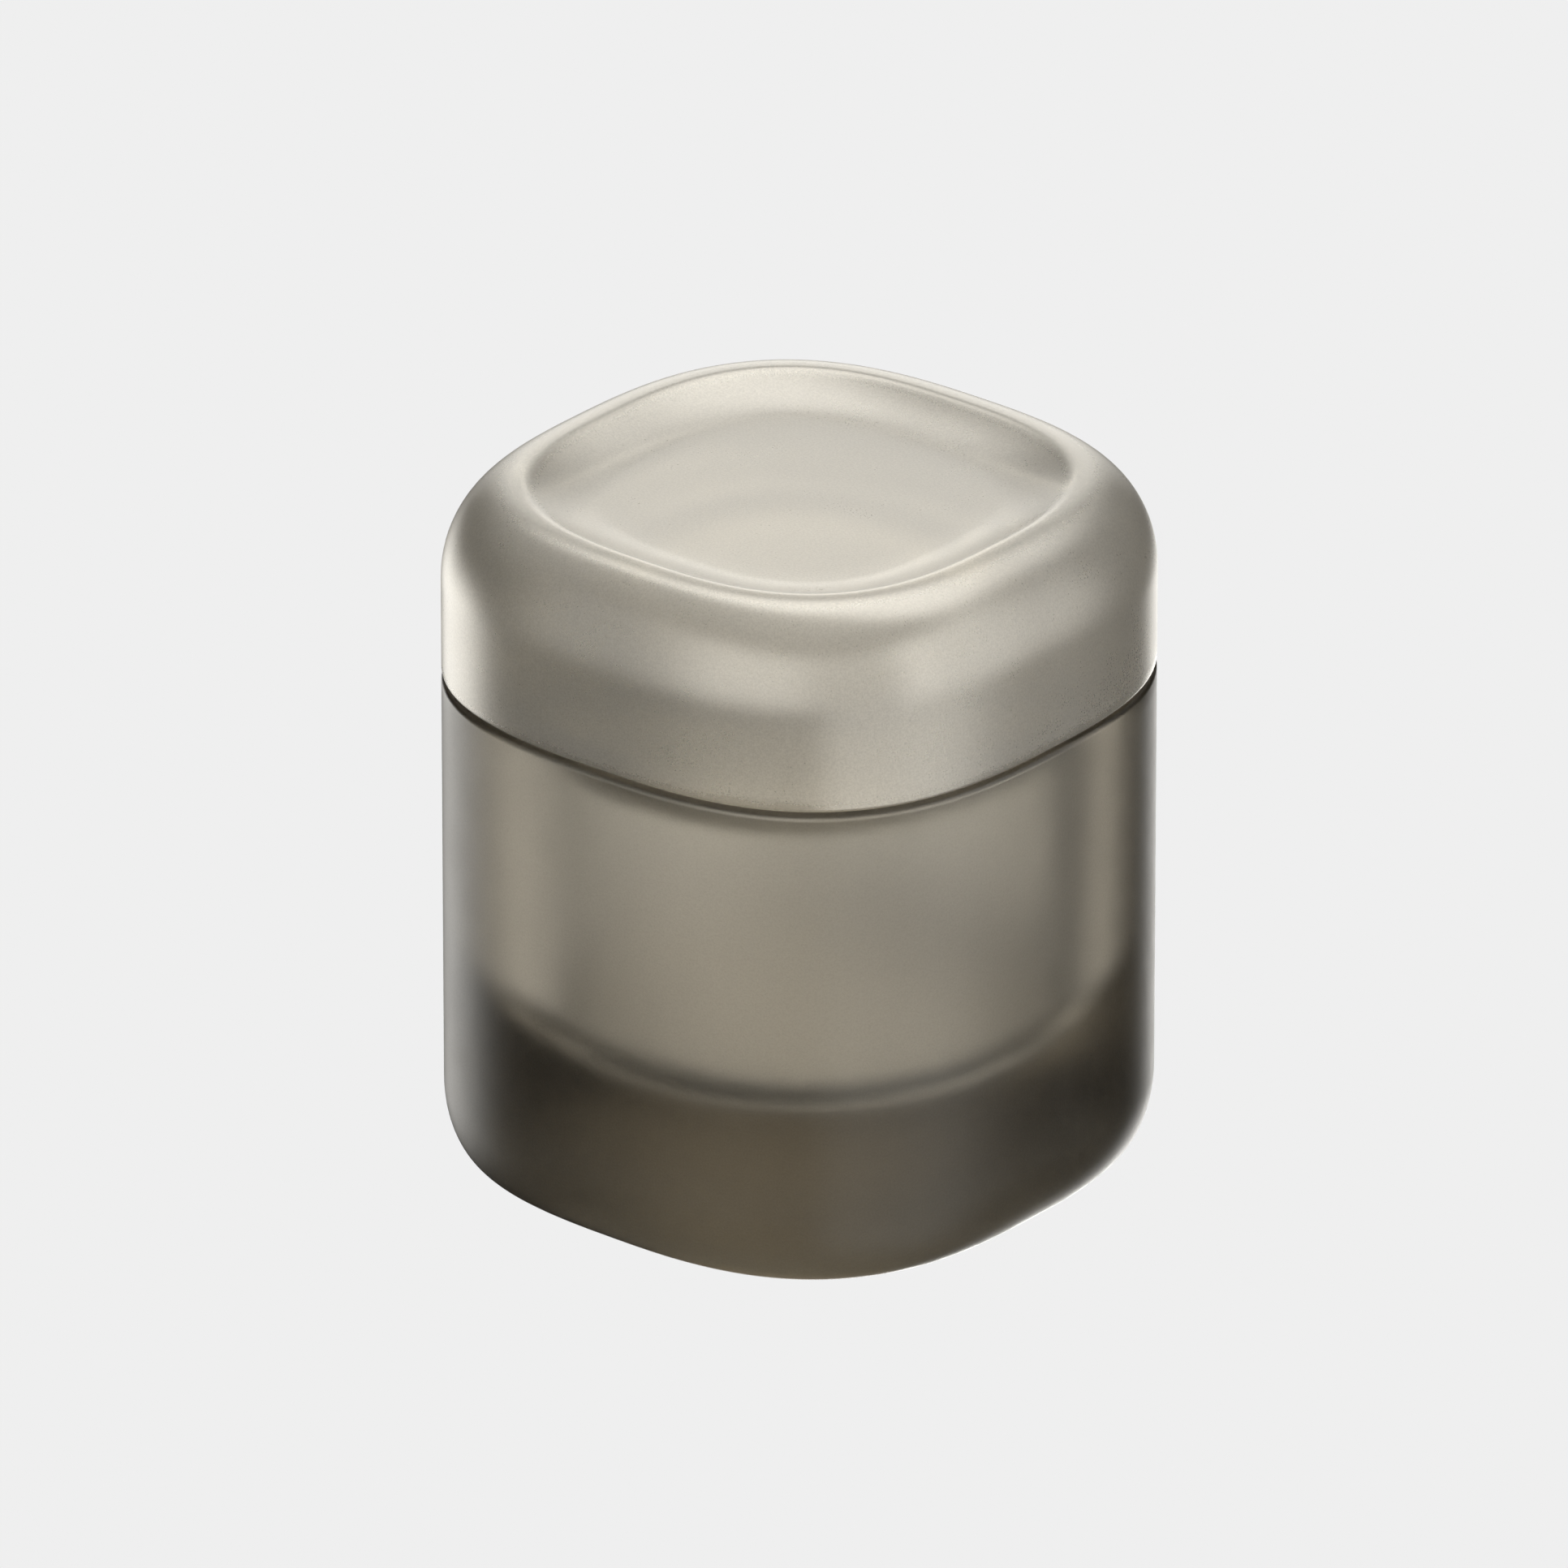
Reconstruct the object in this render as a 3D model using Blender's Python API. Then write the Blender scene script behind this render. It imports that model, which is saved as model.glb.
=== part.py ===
"""Lidded dappen dish for nail liquids: a thick frosted glass dish, its glass lid and the lid's seal.

Metres, +Z up. The origin is the middle of the foot, on the surface that the dish stands on.
Every solid is a stack of closed outlines, which are rounded squares whose flat sides face X and Y.
The well, the lid's plug and the seal are rounder than the outside.
"""

import math

import bmesh
import bpy

# Driving dimensions.
HALF_WIDTH = 0.0240        # from the axis to the middle of a flat side
DISH_HEIGHT = 0.0387       # foot to rim
LID_HEIGHT = 0.0151        # rim to the lid's crest
WELL_HALF_WIDTH = 0.0180   # from the axis to the middle of a side of the well
WELL_DEPTH = 0.0275        # rim to the floor of the well
SQUARENESS = 2.755         # exponent of the outside outline: 2 is a circle, more is squarer
WELL_SQUARENESS = 2.3      # the same for the well, the plug and the seal

# How close the pieces sit.
SEAM_GAP = 0.0003          # lid to rim
SEAL_GAP = 0.0003          # seal to plug, and seal to well

# The dish.
FOOT_FILLET_WIDE = 0.0028
FOOT_FILLET_TALL = 0.0060
FOOT_RING_WIDTH = 0.0035   # flat ring that the dish stands on
PUNT_DEPTH = 0.0010        # hollow under the dish, inside the ring
PUNT_SLOPE = 0.0025
RIM_EDGE = 0.0004          # rounding of the rim's outer edge
MOUTH_EDGE = 0.0006        # rounding of the rim's inner edge
WELL_DRAFT = 0.0004        # how much narrower the well is at the bottom
WELL_FILLET = 0.0050

# The lid.
SHOULDER_WIDE = 0.0053
SHOULDER_TALL = 0.0073
CREST_SHARE = 0.77         # half-width of the crisp edge around the recess, as a share of HALF_WIDTH
FLOOR_SHARE = 0.547        # the same, for the recess's flat floor
RECESS_DEPTH = 0.0016
CREST_EDGE = 0.0005        # width of the softened corner between the recess and the crest
CREST_DROP = 0.00015       # how far that corner falls on the recess's side
RECESS_CURVE = 1.6         # 1 is a straight slope up to the crest, and more is flatter first, then steeper
LID_EDGE = 0.0004          # rounding of the lid's lower edge
PLUG_CLEARANCE = 0.0009    # plug to well
PLUG_DEPTH = 0.0044
PLUG_EDGE = 0.0008
PLUG_HOLLOW = 0.0016       # height of the shallow dome under the plug
PLUG_RIM = 0.0022          # flat ring round that dome

# The seal.
GROOVE_TOP = 0.0012        # seam plane down to the groove
GROOVE_HEIGHT = 0.0020
GROOVE_DEPTH = 0.0012
SEAL_EDGE = 0.0003

# How finely the solids are cut.
SEGMENTS = 72
FILLET_STEPS = 6
EDGE_STEPS = 2
SLOPE_STEPS = 8
SMOOTH_LIMIT = math.radians(30)
MERGE_DISTANCE = 0.00001

SMOKED_GLASS = (0.24, 0.215, 0.175, 1.0)
CLEAR_GLASS = (0.66, 0.635, 0.565, 1.0)
SILICONE = (0.72, 0.71, 0.68, 1.0)


def arc(reach, height, wide, tall, start, end, steps, exponent):
    """Stations along an elliptical arc about (reach, height), with its angles in degrees."""
    stations = []
    for step in range(steps + 1):
        angle = math.radians(start + (end - start) * step / steps)
        stations.append((reach + wide * math.cos(angle), height + tall * math.sin(angle), exponent))
    return stations


def slope(start, end, steps, exponent, curve=None):
    """Stations up a slope: an S, level at both ends, or one that steepens all the way, with a curve."""
    stations = []
    for step in range(steps + 1):
        share = step / steps
        eased = (1 - math.cos(math.pi * share)) / 2 if curve is None else share ** curve
        reach = start[0] + (end[0] - start[0]) * share
        height = start[1] + (end[1] - start[1]) * eased
        stations.append((reach, height, exponent))
    return stations


def outline_point(angle, reach, height, exponent):
    """The point at this angle on the outline whose sides lie at this half-width."""
    spread = abs(math.cos(angle)) ** exponent + abs(math.sin(angle)) ** exponent
    radius = reach / spread ** (1 / exponent)
    return radius * math.cos(angle), radius * math.sin(angle), height


def grow_outline(bm, edges, station):
    """Extrudes the outline's edges and moves the new ones to the station. It gives the new edges."""
    grown = bmesh.ops.extrude_edge_only(bm, edges=edges)["geom"]
    points = [item for item in grown if isinstance(item, bmesh.types.BMVert)]
    for point in points:
        point.co = outline_point(math.atan2(point.co.y, point.co.x), *station)
    made = set(points)
    sides = [item for item in grown if isinstance(item, bmesh.types.BMEdge)]
    return [side for side in sides if made.issuperset(side.verts)]


def make_solid(name, stations, material, is_ring=False):
    """A closed solid through the stations. Its ends are capped, or joined where it is a ring."""
    bm = bmesh.new()
    angles = [2 * math.pi * step / SEGMENTS for step in range(SEGMENTS)]
    points = [bm.verts.new(outline_point(angle, *stations[0])) for angle in angles]
    first = [bm.edges.new((points[step - 1], points[step])) for step in range(SEGMENTS)]
    last = first
    for station in stations[1:]:
        last = grow_outline(bm, last, station)
    if is_ring:
        last = grow_outline(bm, last, stations[0])
        bmesh.ops.remove_doubles(bm, verts=bm.verts, dist=MERGE_DISTANCE)
    else:
        bmesh.ops.contextual_create(bm, geom=first)
        bmesh.ops.contextual_create(bm, geom=last)
    bmesh.ops.recalc_face_normals(bm, faces=bm.faces)
    mesh = bpy.data.meshes.new(name)
    bm.to_mesh(mesh)
    bm.free()
    mesh.shade_smooth()
    mesh.set_sharp_from_angle(angle=SMOOTH_LIMIT)
    mesh.materials.append(material)
    solid = bpy.data.objects.new(name, mesh)
    bpy.context.collection.objects.link(solid)
    return solid


def make_material(name, color, roughness, transmission):
    material = bpy.data.materials.new(name)
    material.use_nodes = True
    shader = material.node_tree.nodes["Principled BSDF"]
    shader.inputs["Base Color"].default_value = color
    shader.inputs["Roughness"].default_value = roughness
    shader.inputs["Metallic"].default_value = 0.0
    shader.inputs["Transmission Weight"].default_value = transmission
    return material


def dish_stations():
    """From the middle of the punt, out under the foot, up the wall, over the rim and down the well."""
    foot = HALF_WIDTH - FOOT_FILLET_WIDE
    ring_inside = foot - FOOT_RING_WIDTH
    punt = [(ring_inside - PUNT_SLOPE, PUNT_DEPTH), (ring_inside, 0.0)]
    rim_reach = HALF_WIDTH - RIM_EDGE
    rim_height = DISH_HEIGHT - RIM_EDGE
    mouth_reach = WELL_HALF_WIDTH + MOUTH_EDGE
    mouth_height = DISH_HEIGHT - MOUTH_EDGE
    floor = DISH_HEIGHT - WELL_DEPTH
    floor_reach = WELL_HALF_WIDTH - WELL_DRAFT - WELL_FILLET
    fillet = (WELL_FILLET, WELL_FILLET)
    shape = WELL_SQUARENESS
    return (
        slope(punt[0], punt[1], EDGE_STEPS * 2, SQUARENESS)
        + arc(foot, FOOT_FILLET_TALL, FOOT_FILLET_WIDE, FOOT_FILLET_TALL, -90, 0, FILLET_STEPS, SQUARENESS)
        + arc(rim_reach, rim_height, RIM_EDGE, RIM_EDGE, 0, 90, EDGE_STEPS, SQUARENESS)
        + arc(mouth_reach, mouth_height, MOUTH_EDGE, MOUTH_EDGE, 90, 180, EDGE_STEPS, shape)
        + arc(floor_reach, floor + WELL_FILLET, *fillet, 0, -90, FILLET_STEPS, shape)
    )


def lid_stations():
    """From the recess's floor, out over the crest, down the side, in under the lid and round the plug."""
    seam = DISH_HEIGHT + SEAM_GAP
    crest = DISH_HEIGHT + LID_HEIGHT
    crest_reach = HALF_WIDTH * CREST_SHARE
    floor = (HALF_WIDTH * FLOOR_SHARE, crest - RECESS_DEPTH)
    corner = (crest_reach - CREST_EDGE, crest - CREST_DROP)
    shoulder_reach = HALF_WIDTH - SHOULDER_WIDE
    shoulder = (SHOULDER_WIDE, SHOULDER_TALL)
    edge_reach = HALF_WIDTH - LID_EDGE
    plug_reach = WELL_HALF_WIDTH - PLUG_CLEARANCE
    groove_reach = plug_reach - GROOVE_DEPTH
    groove_top = DISH_HEIGHT - GROOVE_TOP
    plug_bottom = DISH_HEIGHT - PLUG_DEPTH
    edge = plug_bottom + PLUG_EDGE
    dome_edge = (plug_reach - PLUG_RIM, plug_bottom)
    dome_middle = (dome_edge[0] / 2, plug_bottom + PLUG_HOLLOW)
    return (
        slope(floor, corner, SLOPE_STEPS, SQUARENESS, RECESS_CURVE)
        + [(crest_reach, crest, SQUARENESS)]
        + arc(shoulder_reach, crest - SHOULDER_TALL, *shoulder, 90, 0, FILLET_STEPS, SQUARENESS)
        + arc(edge_reach, seam + LID_EDGE, LID_EDGE, LID_EDGE, 0, -90, EDGE_STEPS, SQUARENESS)
        + [(plug_reach, seam, WELL_SQUARENESS)]
        + [(plug_reach, groove_top, WELL_SQUARENESS)]
        + [(groove_reach, groove_top, WELL_SQUARENESS)]
        + [(groove_reach, groove_top - GROOVE_HEIGHT, WELL_SQUARENESS)]
        + [(plug_reach, groove_top - GROOVE_HEIGHT, WELL_SQUARENESS)]
        + arc(plug_reach - PLUG_EDGE, edge, PLUG_EDGE, PLUG_EDGE, 0, -90, EDGE_STEPS, WELL_SQUARENESS)
        + slope(dome_edge, dome_middle, SLOPE_STEPS // 2, WELL_SQUARENESS)
    )


def seal_stations():
    """Round the seal's section: a flat band with softened edges that stands out of the groove."""
    inside = WELL_HALF_WIDTH - PLUG_CLEARANCE - GROOVE_DEPTH + SEAL_GAP
    outside = WELL_HALF_WIDTH - SEAL_GAP
    top = DISH_HEIGHT - GROOVE_TOP - SEAL_GAP
    bottom = DISH_HEIGHT - GROOVE_TOP - GROOVE_HEIGHT + SEAL_GAP
    corners = [(outside, bottom, -90), (outside, top, 0), (inside, top, 90), (inside, bottom, 180)]
    edge = (SEAL_EDGE, SEAL_EDGE)
    shape = WELL_SQUARENESS
    stations = []
    for reach, height, start in corners:
        centre_reach = reach - math.copysign(SEAL_EDGE, reach - (inside + outside) / 2)
        centre_height = height - math.copysign(SEAL_EDGE, height - (top + bottom) / 2)
        stations += arc(centre_reach, centre_height, *edge, start, start + 90, EDGE_STEPS, shape)
    return stations


def main():
    for leftover in list(bpy.data.objects):
        bpy.data.objects.remove(leftover)
    smoked = make_material("smoked_frosted_glass", SMOKED_GLASS, 0.4, 0.6)
    clear = make_material("clear_frosted_glass", CLEAR_GLASS, 0.4, 0.6)
    silicone = make_material("silicone", SILICONE, 0.55, 0.0)
    make_solid("dish_body", dish_stations(), smoked)
    lid = make_solid("lid", lid_stations(), clear)
    seal = make_solid("seal_ring", seal_stations(), silicone, is_ring=True)
    seal.parent = lid


main()
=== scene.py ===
"""Lidded dappen dish in frosted glass, laid out as an add-on and run as a script.

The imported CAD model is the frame: its boxes give the main sizes, and its bodies carry the pieces.
Each piece is a section turned once round the axis by Geometry Nodes. Every point of a section says
how square the turn is there, because the well is rounder than the outside.
Lengths are in metres and +Z is up.
"""

import math

import bmesh
import bpy
from bpy.props import FloatProperty, FloatVectorProperty, IntProperty, PointerProperty
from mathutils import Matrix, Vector


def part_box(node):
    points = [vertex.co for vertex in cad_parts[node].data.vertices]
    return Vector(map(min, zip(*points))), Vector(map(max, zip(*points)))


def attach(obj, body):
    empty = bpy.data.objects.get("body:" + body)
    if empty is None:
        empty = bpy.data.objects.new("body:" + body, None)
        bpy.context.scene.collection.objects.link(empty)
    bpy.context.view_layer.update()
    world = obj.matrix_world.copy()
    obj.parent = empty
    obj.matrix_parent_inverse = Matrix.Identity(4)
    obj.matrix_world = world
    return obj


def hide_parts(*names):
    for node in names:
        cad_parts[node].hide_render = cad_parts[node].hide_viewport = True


bl_info = {
    "name": "Frosted Dappen Dish",
    "version": (1, 0, 0),
    "blender": (4, 5, 0),
    "location": "View3D > Sidebar > Dappen Dish",
    "description": "Makes a lidded dappen dish in frosted glass, with its seal, on a pale studio floor",
    "category": "Object",
}

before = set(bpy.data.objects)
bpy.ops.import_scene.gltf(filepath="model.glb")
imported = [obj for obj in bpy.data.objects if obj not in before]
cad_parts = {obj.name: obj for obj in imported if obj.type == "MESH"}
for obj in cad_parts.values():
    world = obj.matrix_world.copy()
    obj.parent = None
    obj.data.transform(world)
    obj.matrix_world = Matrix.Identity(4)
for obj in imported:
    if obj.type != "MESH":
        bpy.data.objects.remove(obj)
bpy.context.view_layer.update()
_, DISH_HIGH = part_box("dish_body")
LID_LOW, LID_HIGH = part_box("lid")
SEAL_LOW, SEAL_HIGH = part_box("seal_ring")

MERGE_DISTANCE = 1e-6

# Outputs of the Texture Coordinate node.
OBJECT_PLACE = 3
ROOM_DIRECTION = 0


# ---------------------------------------------------------------------------------------------
# Settings that a user would change.


def length(name, description, default):
    """A property for a length in metres."""
    return FloatProperty(
        name=name,
        description=description,
        default=default,
        min=0.0,
        precision=5,
        unit="LENGTH",
        subtype="DISTANCE",
    )


def turn(name, description, degrees):
    """A property for an angle, kept in radians."""
    return FloatProperty(
        name=name,
        description=description,
        default=math.radians(degrees),
        unit="ROTATION",
        subtype="ANGLE",
    )


def share(name, description, default):
    """A property that runs from 0 to 1."""
    return FloatProperty(
        name=name,
        description=description,
        default=default,
        min=0.0,
        max=1.0,
        subtype="FACTOR",
    )


def colour(name, description, default):
    """A property for a linear RGB colour."""
    return FloatVectorProperty(
        name=name,
        description=description,
        default=default,
        size=3,
        min=0.0,
        max=1.0,
        subtype="COLOR",
    )


def plain_number(name, description, default):
    """A property for a number with no unit."""
    return FloatProperty(name=name, description=description, default=default, min=0.0)


class DishSettings(bpy.types.PropertyGroup):
    """Sizes of the dish."""

    half_width: length("Half width", "Axis to the middle of a flat side", DISH_HIGH.x)
    height: length("Height", "Foot to rim", DISH_HIGH.z)
    squareness: plain_number("Squareness", "2 makes the outside a circle, and more is squarer", 2.755)
    well_half_width: length("Well half width", "Axis to a side of the well", SEAL_HIGH.x + 0.0003)
    well_squareness: plain_number("Well squareness", "The same for the well, the plug and the seal", 2.3)
    well_depth: length("Well depth", "Rim to the floor of the well", 0.0275)
    well_fillet: length("Well fillet", "Radius between the well's wall and its floor", 0.005)
    well_draft: length("Well draft", "How much narrower the well is at the bottom", 0.0004)
    mouth_edge: length("Mouth edge", "Rounding of the rim's inner edge", 0.0006)
    rim_edge: length("Rim edge", "Rounding of the rim's outer edge", 0.0004)
    foot_width: length("Foot rounding width", "How far the foot's rounding comes in", 0.0028)
    foot_height: length("Foot rounding height", "How far the foot's rounding goes up", 0.0060)
    ring_width: length("Foot ring", "Width of the flat ring that the dish stands on", 0.0035)
    punt_depth: length("Punt depth", "Depth of the hollow inside the foot ring", 0.0010)
    punt_slope: length("Punt slope", "Width of the slope into that hollow", 0.0025)
    segments: IntProperty(name="Segments", description="Faces round the dish", default=256, min=32, max=512)


class LidSettings(bpy.types.PropertyGroup):
    """Sizes of the lid and of its seal."""

    seam_height: length("Seam height", "Foot to the lid's lower edge", DISH_HIGH.z + 0.0003)
    crest_height: length("Crest height", "Foot to the lid's crest", LID_HIGH.z)
    lower_edge: length("Lower edge", "Rounding of the lid's lower edge", 0.0004)
    shoulder_width: length("Shoulder width", "How far the shoulder comes in", 0.0053)
    shoulder_height: length("Shoulder height", "How far the shoulder falls", 0.0073)
    crest_share: share("Crest share", "Half-width of the crest as a share of the lid's half width", 0.77)
    floor_share: share("Floor share", "Half-width of the recess's flat floor as the same share", 0.547)
    recess_depth: length("Recess depth", "Crest down to the floor of the recess", 0.0016)
    recess_curve: plain_number("Recess curve", "1 is a straight slope, and more ends steeper", 1.6)
    crest_edge: length("Crest edge", "Width of the softened corner inside the crest", 0.0005)
    crest_drop: length("Crest drop", "How far that corner falls", 0.00015)
    plug_half_width: length("Plug half width", "Axis to a side of the plug", SEAL_HIGH.x - 0.0006)
    plug_bottom: length("Plug bottom", "Foot to the plug's lower face", LID_LOW.z)
    plug_edge: length("Plug edge", "Rounding of the plug's lower edge", 0.0008)
    plug_rim: length("Plug rim", "Flat ring round the dome under the plug", 0.0022)
    plug_dome: length("Plug dome", "Height of the dome under the plug", 0.0016)
    groove_depth: length("Groove depth", "Depth of the seal's groove", 0.0012)
    groove_gap: length("Groove gap", "Room between the seal and its groove", 0.0003)
    seal_edge: length("Seal edge", "Rounding of the seal's corners", 0.0003)
    seal_rib: length("Seal rib", "How far the seal's ribs stand out of its band", 0.00022)
    segments: IntProperty(name="Segments", description="Faces round the lid", default=256, min=32, max=512)


class FinishSettings(bpy.types.PropertyGroup):
    """Colours and surface of the glass and the silicone."""

    smoked_depth: colour("Smoked depth", "What the dish's thick glass lets through", (0.63, 0.594, 0.525))
    smoked_density: plain_number("Smoked density", "How fast the dish's glass darkens, per metre", 106.0)
    smoked_skin: colour("Smoked skin", "Tint of the dish's etched skin", (0.94, 0.93, 0.90))
    pale_depth: colour("Pale depth", "What the lid's thick glass lets through", (0.80, 0.76, 0.66))
    pale_density: plain_number("Pale density", "How fast the lid's glass darkens, per metre", 50.0)
    pale_skin: colour("Pale skin", "Tint of the lid's etched skin", (0.94, 0.91, 0.845))
    smoked_clear: share("Smoked clear", "How much of the dish's light passes on and isn't milky", 1.0)
    pale_clear: share("Pale clear", "How much of the lid's light passes on and isn't milky", 0.7)
    smoked_pearl: share("Smoked pearl", "How much light the dish's skin throws back", 0.02)
    pale_pearl: share("Pale pearl", "How much light the lid's skin throws back", 0.27)
    smoked_etch: share("Smoked etch", "Roughness of the dish's acid-etched skin", 0.37)
    pale_etch: share("Pale etch", "Roughness of the lid's acid-etched skin", 0.30)
    polish: share("Polish", "Roughness where handling and the table have worn the etch down", 0.17)
    grain_size: length("Grain size", "Size of the etch's grain", 0.00017)
    grain_depth: length("Grain depth", "Depth of the etch's grain", 0.000008)
    silicone: colour("Silicone", "Colour of the seal", (0.74, 0.73, 0.69))


class StudioSettings(bpy.types.PropertyGroup):
    """Floor, light and camera."""

    floor_colour: colour("Floor", "Colour of the pale floor", (0.863, 0.863, 0.863))
    view_turn: turn("View turn", "Camera's angle round the axis, from looking along +Y", 39.33)
    view_rise: turn("View rise", "Camera's angle above the floor", 25.09)
    view_distance: length("View distance", "Camera to the point that it looks at", 1.793)
    view_height: length("View height", "Height of the point that it looks at", 0.02912)
    view_side: length("View side", "How far that point lies to the camera's left of the axis", 0.00113)
    view_lens: plain_number("View lens", "Focal length in millimetres", 558.1)


# ---------------------------------------------------------------------------------------------
# Node trees written as expressions.


class Wire:
    """An output socket that arithmetic can be written on. Each operation adds a Math node."""

    def __init__(self, sheet, socket):
        self.sheet = sheet
        self.socket = socket

    def __add__(self, other):
        return self.sheet.math("ADD", self, other)

    def __radd__(self, other):
        return self.sheet.math("ADD", other, self)

    def __sub__(self, other):
        return self.sheet.math("SUBTRACT", self, other)

    def __rsub__(self, other):
        return self.sheet.math("SUBTRACT", other, self)

    def __mul__(self, other):
        return self.sheet.math("MULTIPLY", self, other)

    def __rmul__(self, other):
        return self.sheet.math("MULTIPLY", other, self)

    def __truediv__(self, other):
        return self.sheet.math("DIVIDE", self, other)

    def __rtruediv__(self, other):
        return self.sheet.math("DIVIDE", other, self)

    def __pow__(self, other):
        return self.sheet.math("POWER", self, other)


class NodeSheet:
    """A node tree with one way to add a node to it."""

    def __init__(self, tree):
        self.tree = tree

    def node(self, kind, settings=None, sockets=None, output=0):
        """Adds a node. Its settings are set first, and then its sockets' values and links."""
        made = self.tree.nodes.new(kind)
        made.location = (220 * (len(self.tree.nodes) % 12), -260 * (len(self.tree.nodes) // 12))
        for name, value in (settings or {}).items():
            setattr(made, name, value)
        for key, value in (sockets or {}).items():
            if isinstance(value, Wire):
                self.tree.links.new(value.socket, made.inputs[key])
            else:
                made.inputs[key].default_value = value
        return Wire(self, made.outputs[output]) if len(made.outputs) else made

    def math(self, operation, first, second=0.0):
        return self.node("ShaderNodeMath", {"operation": operation}, {0: first, 1: second})

    def dot(self, first, second):
        sockets = {0: first, 1: second}
        return self.node("ShaderNodeVectorMath", {"operation": "DOT_PRODUCT"}, sockets, output=1)

    def ramp(self, value, low, high):
        """Rises smoothly from 0 to 1 as the value goes from low to high."""
        return self.node(
            "ShaderNodeMapRange",
            {"interpolation_type": "SMOOTHSTEP", "clamp": True},
            {"Value": value, "From Min": low, "From Max": high},
        )

    def blend(self, factor, first, second):
        """A colour between two colours."""
        return self.node(
            "ShaderNodeMix",
            {"data_type": "RGBA", "clamp_factor": True},
            {0: factor, 6: first, 7: second},
            output=2,
        )

    def noise(self, place, size, detail=2.0):
        """Noise whose blobs are about this size in metres. It runs from 0 to 1."""
        return self.node(
            "ShaderNodeTexNoise",
            {"noise_dimensions": "3D"},
            {"Vector": place, "Scale": 1.0 / size, "Detail": detail, "Roughness": 0.55},
        )


# ---------------------------------------------------------------------------------------------
# Sections: lists of (reach, height, squareness).


def arc(reach, height, wide, tall, start, end, steps, squareness):
    """Points along an elliptical arc about (reach, height), with its angles in degrees."""
    points = []
    for step in range(steps + 1):
        angle = math.radians(start + (end - start) * step / steps)
        points.append((reach + wide * math.cos(angle), height + tall * math.sin(angle), squareness))
    return points


def between(start, end, part):
    """The value this part of the way from start to end."""
    return start + (end - start) * part


def straight(start, end, steps, squareness):
    """Points between two ends, both left out."""
    points = []
    for step in range(1, steps):
        part = step / steps
        points.append((between(start[0], end[0], part), between(start[1], end[1], part), squareness))
    return points


def rise(start, end, steps, squareness, curve=None):
    """Points up a slope: an S that is level at both ends or, with a curve, one that steepens all the way."""
    points = []
    for step in range(steps + 1):
        part = step / steps
        eased = (1 - math.cos(math.pi * part)) / 2 if curve is None else part**curve
        points.append((between(start[0], end[0], part), between(start[1], end[1], eased), squareness))
    return points


def dish_section(dish):
    """From the middle of the punt, out under the foot, up the wall, over the rim and down the well."""
    foot = dish.half_width - dish.foot_width
    ring_inside = foot - dish.ring_width
    punt_reach = ring_inside - dish.punt_slope
    floor = dish.height - dish.well_depth
    floor_reach = dish.well_half_width - dish.well_draft - dish.well_fillet
    wall_top = dish.height - dish.rim_edge
    mouth = (dish.well_half_width, dish.height - dish.mouth_edge)
    round_mouth = (mouth[0] + dish.mouth_edge, mouth[1], dish.mouth_edge, dish.mouth_edge)
    well_bottom = (floor_reach + dish.well_fillet, floor + dish.well_fillet)
    square = dish.squareness
    inner = dish.well_squareness
    return (
        [(0.0, dish.punt_depth, square)]
        + straight((0.0, dish.punt_depth), (punt_reach, dish.punt_depth), 8, square)
        + rise((punt_reach, dish.punt_depth), (ring_inside, 0.0), 8, square)
        + straight((ring_inside, 0.0), (foot, 0.0), 4, square)
        + arc(foot, dish.foot_height, dish.foot_width, dish.foot_height, -90, 0, 16, square)
        + straight((dish.half_width, dish.foot_height), (dish.half_width, wall_top), 24, square)
        + arc(dish.half_width - dish.rim_edge, wall_top, dish.rim_edge, dish.rim_edge, 0, 90, 5, square)
        + arc(*round_mouth, 90, 180, 6, inner)
        + straight(mouth, well_bottom, 16, inner)
        + arc(floor_reach, well_bottom[1], dish.well_fillet, dish.well_fillet, 0, -90, 14, inner)
        + straight((floor_reach, floor), (0.0, floor), 8, inner)
        + [(0.0, floor, inner)]
    )


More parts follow.
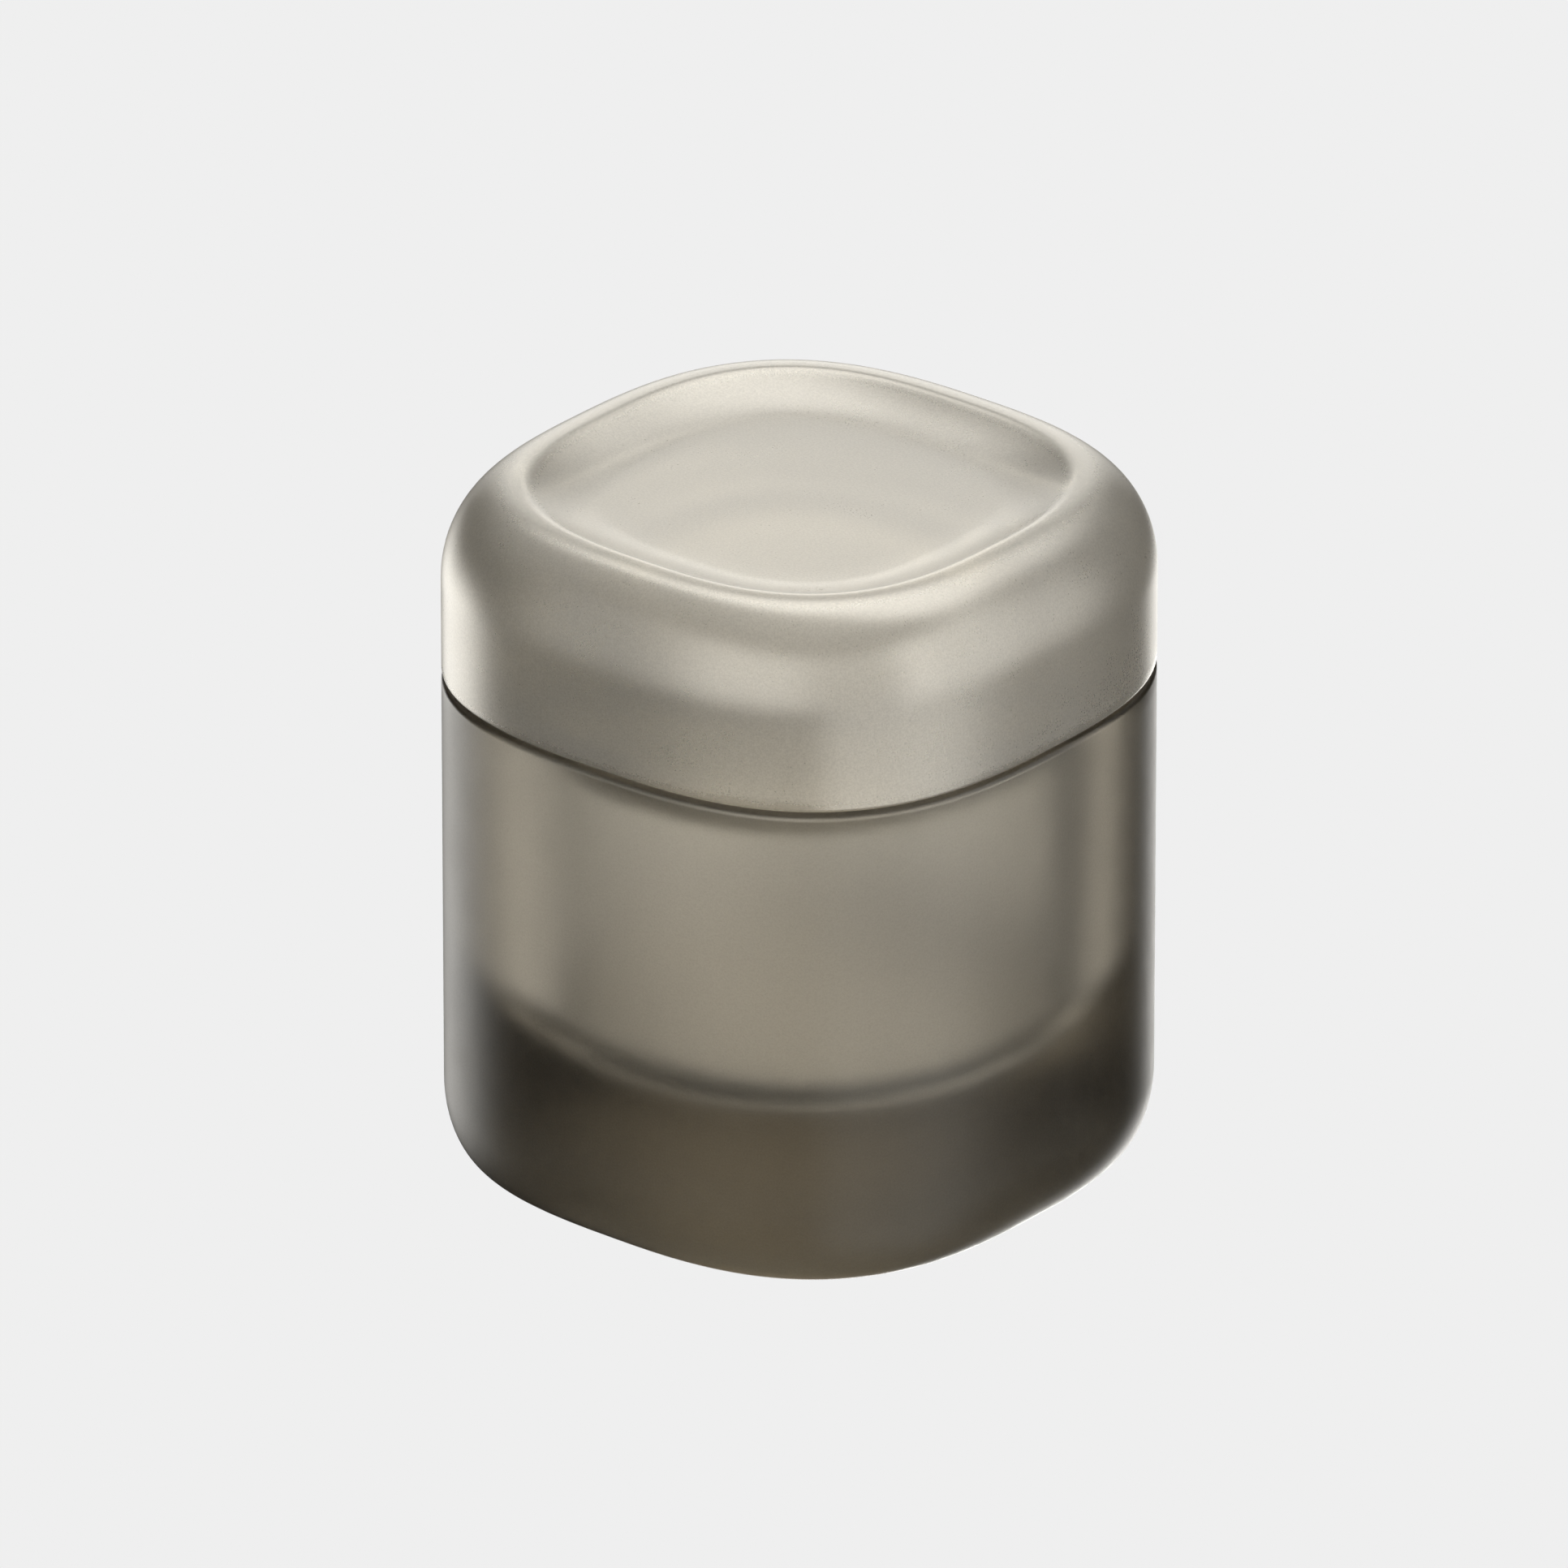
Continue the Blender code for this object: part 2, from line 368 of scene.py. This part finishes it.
def lid_section(lid, dish):
    """From the recess's floor, out over the crest, down the side, in under the lid and round the plug."""
    half_width = dish.half_width
    square = dish.squareness
    inner = dish.well_squareness
    crest = half_width * lid.crest_share
    floor = (half_width * lid.floor_share, lid.crest_height - lid.recess_depth)
    corner = (crest - lid.crest_edge, lid.crest_height - lid.crest_drop)
    shoulder = half_width - lid.shoulder_width
    shoulder_low = lid.crest_height - lid.shoulder_height
    edge = lid.seam_height + lid.lower_edge
    groove = lid.plug_half_width - lid.groove_depth
    groove_top = SEAL_HIGH.z + lid.groove_gap
    groove_bottom = SEAL_LOW.z - lid.groove_gap
    plug_low = lid.plug_bottom + lid.plug_edge
    dome_edge = lid.plug_half_width - lid.plug_rim
    dome_top = lid.plug_bottom + lid.plug_dome
    root = 0.0003
    return (
        [(0.0, floor[1], square)]
        + straight((0.0, floor[1]), floor, 8, square)
        + rise(floor, corner, 14, square, lid.recess_curve)
        + [(crest - lid.crest_edge * 0.45, lid.crest_height - lid.crest_drop * 0.3, square)]
        + [(crest, lid.crest_height, square)]
        + arc(shoulder, shoulder_low, lid.shoulder_width, lid.shoulder_height, 90, 0, 20, square)
        + straight((half_width, shoulder_low), (half_width, edge), 10, square)
        + arc(half_width - lid.lower_edge, edge, lid.lower_edge, lid.lower_edge, 0, -90, 5, square)
        + arc(lid.plug_half_width + root, lid.seam_height - root, root, root, 90, 180, 3, inner)
        + [(lid.plug_half_width, groove_top, inner)]
        + [(groove, groove_top, inner)]
        + [(groove, groove_bottom, inner)]
        + [(lid.plug_half_width, groove_bottom, inner)]
        + arc(lid.plug_half_width - lid.plug_edge, plug_low, lid.plug_edge, lid.plug_edge, 0, -90, 5, inner)
        + rise((dome_edge, lid.plug_bottom), (dome_edge / 2, dome_top), 12, inner)
        + straight((dome_edge / 2, dome_top), (0.0, dome_top), 6, inner)
        + [(0.0, dome_top, inner)]
    )


def seal_section(lid, squareness):
    """Round the seal's band, whose outer face has two moulded ribs. It ends where it starts."""
    outside = SEAL_HIGH.x
    inside = lid.plug_half_width - lid.groove_depth + lid.groove_gap
    top = SEAL_HIGH.z
    bottom = SEAL_LOW.z
    edge = lid.seal_edge
    face = outside - lid.seal_rib
    steps = 28
    ribs = []
    for step in range(steps + 1):
        part = step / steps
        bulge = math.sin(2 * math.pi * part) ** 2
        ribs.append((face + lid.seal_rib * bulge, between(bottom + edge, top - edge, part), squareness))
    return (
        ribs
        + arc(face - edge, top - edge, edge, edge, 0, 90, 5, squareness)[1:]
        + arc(inside + edge, top - edge, edge, edge, 90, 180, 5, squareness)
        + arc(inside + edge, bottom + edge, edge, edge, 180, 270, 5, squareness)
        + arc(face - edge, bottom + edge, edge, edge, 270, 360, 5, squareness)
    )


# ---------------------------------------------------------------------------------------------
# Turning a section into a piece.


def turning_tree():
    """The Geometry Nodes tree that turns a section once round the axis and closes it."""
    tree = bpy.data.node_groups.new("turned_section", "GeometryNodeTree")
    face = tree.interface
    face.new_socket("Section", in_out="INPUT", socket_type="NodeSocketGeometry")
    segments = face.new_socket("Segments", in_out="INPUT", socket_type="NodeSocketInt")
    merge = face.new_socket("Merge Distance", in_out="INPUT", socket_type="NodeSocketFloat")
    finish = face.new_socket("Finish", in_out="INPUT", socket_type="NodeSocketMaterial")
    face.new_socket("Piece", in_out="OUTPUT", socket_type="NodeSocketGeometry")
    sheet = NodeSheet(tree)
    given = tree.nodes.new("NodeGroupInput")
    section, turns, distance, material = [Wire(sheet, socket) for socket in given.outputs[:4]]
    rows = sheet.node("GeometryNodeAttributeDomainSize", {"component": "MESH"}, {"Geometry": section})
    grid = sheet.node("GeometryNodeMeshGrid", None, {"Vertices X": turns + 1, "Vertices Y": rows})
    index = sheet.node("GeometryNodeInputIndex")
    column = sheet.math("FLOOR", (index + 0.5) / rows)
    row = index - column * rows
    place = sheet.node(
        "GeometryNodeSampleIndex",
        {"data_type": "FLOAT_VECTOR"},
        {"Geometry": section, "Value": sheet.node("GeometryNodeInputPosition"), "Index": row},
    )
    named = sheet.node("GeometryNodeInputNamedAttribute", {"data_type": "FLOAT"}, {"Name": "squareness"})
    power = sheet.node(
        "GeometryNodeSampleIndex",
        {"data_type": "FLOAT"},
        {
            "Geometry": section,
            "Value": named,
            "Index": row,
        },
    )
    reach = sheet.node("ShaderNodeSeparateXYZ", None, {"Vector": place})
    height = height_of(sheet, place)
    angle = column / turns * (2 * math.pi)
    across = sheet.math("COSINE", angle)
    along = sheet.math("SINE", angle)
    spread = sheet.math("ABSOLUTE", across) ** power + sheet.math("ABSOLUTE", along) ** power
    radius = reach / spread ** (1 / power)
    turned = sheet.node("ShaderNodeCombineXYZ", None, {0: radius * across, 1: radius * along, 2: height})
    moved = sheet.node("GeometryNodeSetPosition", None, {"Geometry": grid, "Position": turned})
    closed = sheet.node("GeometryNodeMergeByDistance", None, {"Geometry": moved, "Distance": distance})
    smooth = sheet.node("GeometryNodeSetShadeSmooth", None, {"Geometry": closed})
    real = sheet.node("GeometryNodeRealizeInstances", None, {"Geometry": smooth})
    covered = sheet.node("GeometryNodeSetMaterial", None, {"Geometry": real, "Material": material})
    sheet.node("NodeGroupOutput", None, {"Piece": covered})
    return tree, segments.identifier, merge.identifier, finish.identifier


def turn_section(name, points, segments, finish, body, node):
    """Makes a closed piece from a section, and sets it on its body in place of its CAD node."""
    outline = bpy.data.meshes.new(name + "_section")
    outline.from_pydata([(reach, 0.0, height) for reach, height, _ in points], [], [])
    power = outline.attributes.new("squareness", "FLOAT", "POINT")
    power.data.foreach_set("value", [squareness for _, _, squareness in points])
    section = bpy.data.objects.new(name + "_section", outline)
    bpy.context.scene.collection.objects.link(section)
    tree, segments_key, merge_key, finish_key = turning_tree()
    modifier = section.modifiers.new("turning", "NODES")
    modifier.node_group = tree
    modifier[segments_key] = segments
    modifier[merge_key] = MERGE_DISTANCE
    modifier[finish_key] = finish
    graph = bpy.context.evaluated_depsgraph_get()
    mesh = bpy.data.meshes.new_from_object(section.evaluated_get(graph))
    section.modifiers.remove(modifier)
    bpy.data.objects.remove(section)
    bpy.data.meshes.remove(outline)
    bpy.data.node_groups.remove(tree)
    mesh.name = name
    close_mesh(mesh)
    piece = bpy.data.objects.new(name, mesh)
    bpy.context.scene.collection.objects.link(piece)
    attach(piece, body)
    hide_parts(node)
    return piece


def close_mesh(mesh):
    """Turns the faces outwards, marks the hard corners and stops on an open edge."""
    shell = bmesh.new()
    shell.from_mesh(mesh)
    bmesh.ops.recalc_face_normals(shell, faces=shell.faces)
    is_open = any(len(edge.link_faces) != 2 for edge in shell.edges)
    shell.to_mesh(mesh)
    shell.free()
    if is_open:
        raise RuntimeError(mesh.name + " has an open edge")
    mesh.set_sharp_from_angle(angle=math.radians(50))


def clear_piece(name):
    """Takes away an earlier piece of this name, so that a button can be pressed again."""
    earlier = bpy.data.objects.get(name)
    if earlier is not None:
        bpy.data.objects.remove(earlier)


# ---------------------------------------------------------------------------------------------
# Finishes.


def new_material(name):
    """A material with its shader, and the sheet of its node tree."""
    material = bpy.data.materials.new(name)
    material.use_nodes = True
    sheet = NodeSheet(material.node_tree)
    return material, sheet, material.node_tree.nodes["Principled BSDF"]


def join(sheet, wire, socket):
    sheet.tree.links.new(wire.socket, socket)


def etched_glass(name, skin, depth, density, clear, pearl, etch, polish, grain_size, grain_depth, worn):
    """Pressed glass with an acid-etched skin. It darkens with thickness, and the worn bands are smoother."""
    material, sheet, shader = new_material(name)
    place = sheet.node("ShaderNodeTexCoord", output=OBJECT_PLACE)
    clouds = sheet.noise(place, 0.009, 3.0)
    patches = sheet.noise(place, 0.0022, 2.0)
    grain = sheet.noise(place, grain_size, 2.0)
    dust = sheet.noise(place, grain_size * 0.45, 1.0)
    wear = worn(sheet, place, patches)
    uneven = (clouds - 0.5) * 0.07 + (patches - 0.5) * 0.05 + (grain - 0.5) * 0.10
    rough = (etch + uneven) * (1 - wear) + polish * wear
    lights = sheet.ramp(grain * 0.6 + dust * 0.4, 0.32, 0.68)
    pale = tuple(min(1.0, part * 1.05) for part in skin)
    dark = tuple(part * 0.86 for part in skin)
    tint = sheet.blend(lights, (*dark, 1.0), (*pale, 1.0))
    relief = grain * 0.7 + dust * 0.3 + clouds * 0.6
    bump = sheet.node(
        "ShaderNodeBump",
        None,
        {"Strength": 0.55, "Distance": grain_depth, "Height": relief},
    )
    join(sheet, tint, shader.inputs["Base Color"])
    join(sheet, rough, shader.inputs["Roughness"])
    join(sheet, bump, shader.inputs["Normal"])
    shader.inputs["IOR"].default_value = 1.5
    shader.inputs["Metallic"].default_value = pearl
    shader.inputs["Transmission Weight"].default_value = clear
    depths = sheet.node("ShaderNodeVolumeAbsorption", None, {"Color": (*depth, 1.0), "Density": density})
    join(sheet, depths, material.node_tree.nodes["Material Output"].inputs["Volume"])
    return material


def height_of(sheet, place):
    """Height of a place, or of the tip of a direction."""
    return sheet.node("ShaderNodeSeparateXYZ", None, {"Vector": place}, output=2)


def dish_wear(sheet, place, patches):
    """Smooth bands where the foot stands and where fingers and the lid rub the rim."""
    height = height_of(sheet, place)
    rough_height = height + (patches - 0.5) * 0.0009
    foot = 1 - sheet.ramp(rough_height, 0.0001, 0.0010)
    rim = sheet.ramp(rough_height, DISH_HIGH.z - 0.0009, DISH_HIGH.z - 0.0001)
    return foot * 0.8 + rim * 0.2


def lid_wear(sheet, place, patches):
    """Smooth bands on the crest, on the lower edge and round the plug."""
    height = height_of(sheet, place)
    rough_height = height + (patches - 0.5) * 0.0006
    crest = sheet.ramp(rough_height, LID_HIGH.z - 0.0005, LID_HIGH.z)
    low = DISH_HIGH.z + 0.0003
    above = sheet.ramp(rough_height, low - 0.0002, low + 0.0001)
    edge = above * (1 - sheet.ramp(rough_height, low + 0.0003, low + 0.0011))
    return crest * 0.45 + edge * 0.5


def milky_silicone(name, tint):
    """Moulded silicone: slightly see-through, matt, with fine dust and a faint moulding texture."""
    material, sheet, shader = new_material(name)
    place = sheet.node("ShaderNodeTexCoord", output=OBJECT_PLACE)
    clouds = sheet.noise(place, 0.003, 3.0)
    dust = sheet.noise(place, 0.0002, 2.0)
    pale = tuple(min(1.0, part * 1.06) for part in tint)
    dark = tuple(part * 0.90 for part in tint)
    skin = sheet.blend(sheet.ramp(clouds, 0.3, 0.7), (*dark, 1.0), (*pale, 1.0))
    bump = sheet.node("ShaderNodeBump", None, {"Strength": 0.4, "Distance": 0.00001, "Height": dust})
    join(sheet, skin, shader.inputs["Base Color"])
    join(sheet, 0.5 + (dust - 0.5) * 0.2, shader.inputs["Roughness"])
    join(sheet, bump, shader.inputs["Normal"])
    shader.inputs["IOR"].default_value = 1.41
    shader.inputs["Transmission Weight"].default_value = 0.25
    return material


# ---------------------------------------------------------------------------------------------
# Stage.


def compass(turned, risen):
    """The direction from the object at this angle round the axis and this angle above the floor."""
    flat = math.cos(risen)
    return Vector((math.sin(turned) * flat, -math.cos(turned) * flat, math.sin(risen)))


# Sine of the angle above the horizon, and the brightness of the room there.
ROOM = ((-1.0, 0.05), (-0.6, 0.0), (0.35, 0.0), (0.75, 0.35), (1.0, 0.65))

# Soft light banks: degrees round from the camera to the right, degrees up, width, height, brightness.
LIGHT_BANKS = {
    "front": (0.0, 10.0, 120.0, 55.0, 0.8),
    "front left": (-45.0, 10.0, 80.0, 55.0, 0.5),
    "right": (75.0, 10.0, 50.0, 55.0, 1.3),
    "low right": (45.0, -35.0, 80.0, 35.0, 0.9),
    "high behind": (150.0, 60.0, 120.0, 35.0, 1.9),
    "behind": (180.0, 10.0, 30.0, 35.0, 1.7),
    "low behind left": (-135.0, -20.0, 45.0, 22.0, 2.7),
    "low behind": (165.0, -35.0, 32.0, 22.0, 3.9),
}
BANK_EDGE = math.radians(11.0)
LIGHT_TINT = (1.0, 0.985, 0.945)

FLOOR_HALF = 12.0
SQUARE = ((-1, -1), (1, -1), (1, 1), (-1, 1))


def room_light(sheet, height):
    """The brightness of the plain room by height."""
    ramp = sheet.node("ShaderNodeValToRGB", None, {"Fac": height * 0.5 + 0.5})
    stops = ramp.socket.node.color_ramp
    while len(stops.elements) < len(ROOM):
        stops.elements.new(0.5)
    for stop, (sine, bright) in zip(stops.elements, ROOM):
        stop.position = sine * 0.5 + 0.5
        stop.color = (bright, bright, bright, 1.0)
    return ramp


def bank_light(sheet, direction, height, start, bank):
    """The light of one bank: a soft-edged rectangle on the walls of the room."""
    side, up, width, tall, bright = (*[math.radians(part) for part in bank[:4]], bank[4])
    centre = compass(start + side, 0.0)
    right = Vector((-centre.y, centre.x, 0.0))
    ahead = sheet.dot(direction, centre)
    aside = sheet.dot(direction, right)
    round_by = sheet.math("ABSOLUTE", sheet.math("ARCTAN2", aside, ahead))
    up_by = sheet.math("ABSOLUTE", sheet.math("ARCSINE", height) - up)
    across = 1 - sheet.ramp(round_by, width / 2 - BANK_EDGE, width / 2 + BANK_EDGE)
    along = 1 - sheet.ramp(up_by, tall / 2 - BANK_EDGE, tall / 2 + BANK_EDGE)
    return across * along * bright


def make_room(scene, studio):
    """The light of the studio: a plain room and its soft banks, all slightly warm."""
    world = bpy.data.worlds.new("studio_room")
    world.use_nodes = True
    scene.world = world
    sheet = NodeSheet(world.node_tree)
    direction = sheet.node("ShaderNodeTexCoord", output=ROOM_DIRECTION)
    height = height_of(sheet, direction)
    light = room_light(sheet, height)
    for bank in LIGHT_BANKS.values():
        light = light + bank_light(sheet, direction, height, studio.view_turn, bank)
    warm = sheet.node("ShaderNodeCombineXYZ", None, {part: light * LIGHT_TINT[part] for part in range(3)})
    join(sheet, warm, world.node_tree.nodes["Background"].inputs["Color"])


def make_floor(studio):
    """The pale floor, evenly lit. The glass takes its light from the room alone."""
    corners = [(across * FLOOR_HALF, along * FLOOR_HALF, 0.0) for across, along in SQUARE]
    mesh = bpy.data.meshes.new("floor")
    mesh.from_pydata(corners, [], [(0, 1, 2, 3)])
    floor = bpy.data.objects.new("floor", mesh)
    bpy.context.scene.collection.objects.link(floor)
    material, _, shader = new_material("pale_floor")
    shader.inputs["Base Color"].default_value = (0.0, 0.0, 0.0, 1.0)
    shader.inputs["Roughness"].default_value = 1.0
    shader.inputs["Specular IOR Level"].default_value = 0.0
    shader.inputs["Emission Color"].default_value = (*studio.floor_colour, 1.0)
    shader.inputs["Emission Strength"].default_value = 1.0
    mesh.materials.append(material)
    floor.visible_transmission = False
    floor.visible_glossy = False
    floor.visible_diffuse = False


def make_camera(scene, studio):
    """The camera, a long lens that looks down at the dish."""
    camera = bpy.data.cameras.new("studio_camera")
    camera.sensor_width = 36.0
    camera.lens = studio.view_lens
    camera.clip_start = 0.01
    camera.clip_end = 50.0
    holder = bpy.data.objects.new("studio_camera", camera)
    scene.collection.objects.link(holder)
    back = compass(studio.view_turn, studio.view_rise)
    right = Vector((math.cos(studio.view_turn), math.sin(studio.view_turn), 0.0))
    target = Vector((0.0, 0.0, studio.view_height)) - right * studio.view_side
    holder.location = target + back * studio.view_distance
    holder.rotation_mode = "QUATERNION"
    holder.rotation_quaternion = back.to_track_quat("Z", "Y")
    scene.camera = holder


# ---------------------------------------------------------------------------------------------
# Operators and panel.


class DAPPEN_OT_make_dish(bpy.types.Operator):
    """Makes the thick smoked-glass dish"""

    bl_idname = "dappen.make_dish"
    bl_label = "Dish"

    def execute(self, context):
        dish = context.scene.dappen_dish
        finish = context.scene.dappen_finish
        clear_piece("dish_glass")
        glass = etched_glass(
            "smoked_frosted_glass",
            finish.smoked_skin,
            finish.smoked_depth,
            finish.smoked_density,
            finish.smoked_clear,
            finish.smoked_pearl,
            finish.smoked_etch,
            finish.polish,
            finish.grain_size,
            finish.grain_depth,
            dish_wear,
        )
        section = dish_section(dish)
        turn_section("dish_glass", section, dish.segments, glass, "dish", "dish_body")
        return {"FINISHED"}


class DAPPEN_OT_make_lid(bpy.types.Operator):
    """Makes the pale lid with its recess and plug"""

    bl_idname = "dappen.make_lid"
    bl_label = "Lid"

    def execute(self, context):
        lid = context.scene.dappen_lid
        dish = context.scene.dappen_dish
        finish = context.scene.dappen_finish
        clear_piece("lid_glass")
        glass = etched_glass(
            "clear_frosted_glass",
            finish.pale_skin,
            finish.pale_depth,
            finish.pale_density,
            finish.pale_clear,
            finish.pale_pearl,
            finish.pale_etch,
            finish.polish,
            finish.grain_size,
            finish.grain_depth,
            lid_wear,
        )
        section = lid_section(lid, dish)
        turn_section("lid_glass", section, lid.segments, glass, "lid", "lid")
        return {"FINISHED"}


class DAPPEN_OT_make_seal(bpy.types.Operator):
    """Makes the silicone seal in the plug's groove"""

    bl_idname = "dappen.make_seal"
    bl_label = "Seal"

    def execute(self, context):
        lid = context.scene.dappen_lid
        clear_piece("seal_band")
        squareness = context.scene.dappen_dish.well_squareness
        silicone = milky_silicone("silicone", context.scene.dappen_finish.silicone)
        section = seal_section(lid, squareness)
        turn_section("seal_band", section, lid.segments, silicone, "lid", "seal_ring")
        return {"FINISHED"}


class DAPPEN_OT_make_stage(bpy.types.Operator):
    """Makes the pale floor, the soft light and the camera"""

    bl_idname = "dappen.make_stage"
    bl_label = "Studio"

    def execute(self, context):
        studio = context.scene.dappen_studio
        clear_piece("floor")
        clear_piece("studio_camera")
        context.scene.view_settings.view_transform = "Standard"
        make_floor(studio)
        make_room(context.scene, studio)
        make_camera(context.scene, studio)
        return {"FINISHED"}


class DAPPEN_PT_panel(bpy.types.Panel):
    """Lists the operators and the settings of the dish"""

    bl_idname = "DAPPEN_PT_panel"
    bl_label = "Dappen Dish"
    bl_space_type = "VIEW_3D"
    bl_region_type = "UI"
    bl_category = "Dappen Dish"

    def draw(self, context):
        layout = self.layout
        scene = context.scene
        parts = (
            (scene.dappen_dish, DAPPEN_OT_make_dish),
            (scene.dappen_lid, DAPPEN_OT_make_lid),
            (scene.dappen_finish, DAPPEN_OT_make_seal),
            (scene.dappen_studio, DAPPEN_OT_make_stage),
        )
        for settings, operator in parts:
            box = layout.box()
            for name in settings.__annotations__:
                box.prop(settings, name)
            box.operator(operator.bl_idname)


CLASSES = (
    DishSettings,
    LidSettings,
    FinishSettings,
    StudioSettings,
    DAPPEN_OT_make_dish,
    DAPPEN_OT_make_lid,
    DAPPEN_OT_make_seal,
    DAPPEN_OT_make_stage,
    DAPPEN_PT_panel,
)


def register():
    for made in CLASSES:
        bpy.utils.register_class(made)
    bpy.types.Scene.dappen_dish = PointerProperty(type=DishSettings)
    bpy.types.Scene.dappen_lid = PointerProperty(type=LidSettings)
    bpy.types.Scene.dappen_finish = PointerProperty(type=FinishSettings)
    bpy.types.Scene.dappen_studio = PointerProperty(type=StudioSettings)


def unregister():
    del bpy.types.Scene.dappen_studio
    del bpy.types.Scene.dappen_finish
    del bpy.types.Scene.dappen_lid
    del bpy.types.Scene.dappen_dish
    for made in reversed(CLASSES):
        bpy.utils.unregister_class(made)


def main():
    register()
    bpy.ops.dappen.make_dish()
    bpy.ops.dappen.make_lid()
    bpy.ops.dappen.make_seal()
    bpy.ops.dappen.make_stage()


if __name__ == "__main__":
    main()
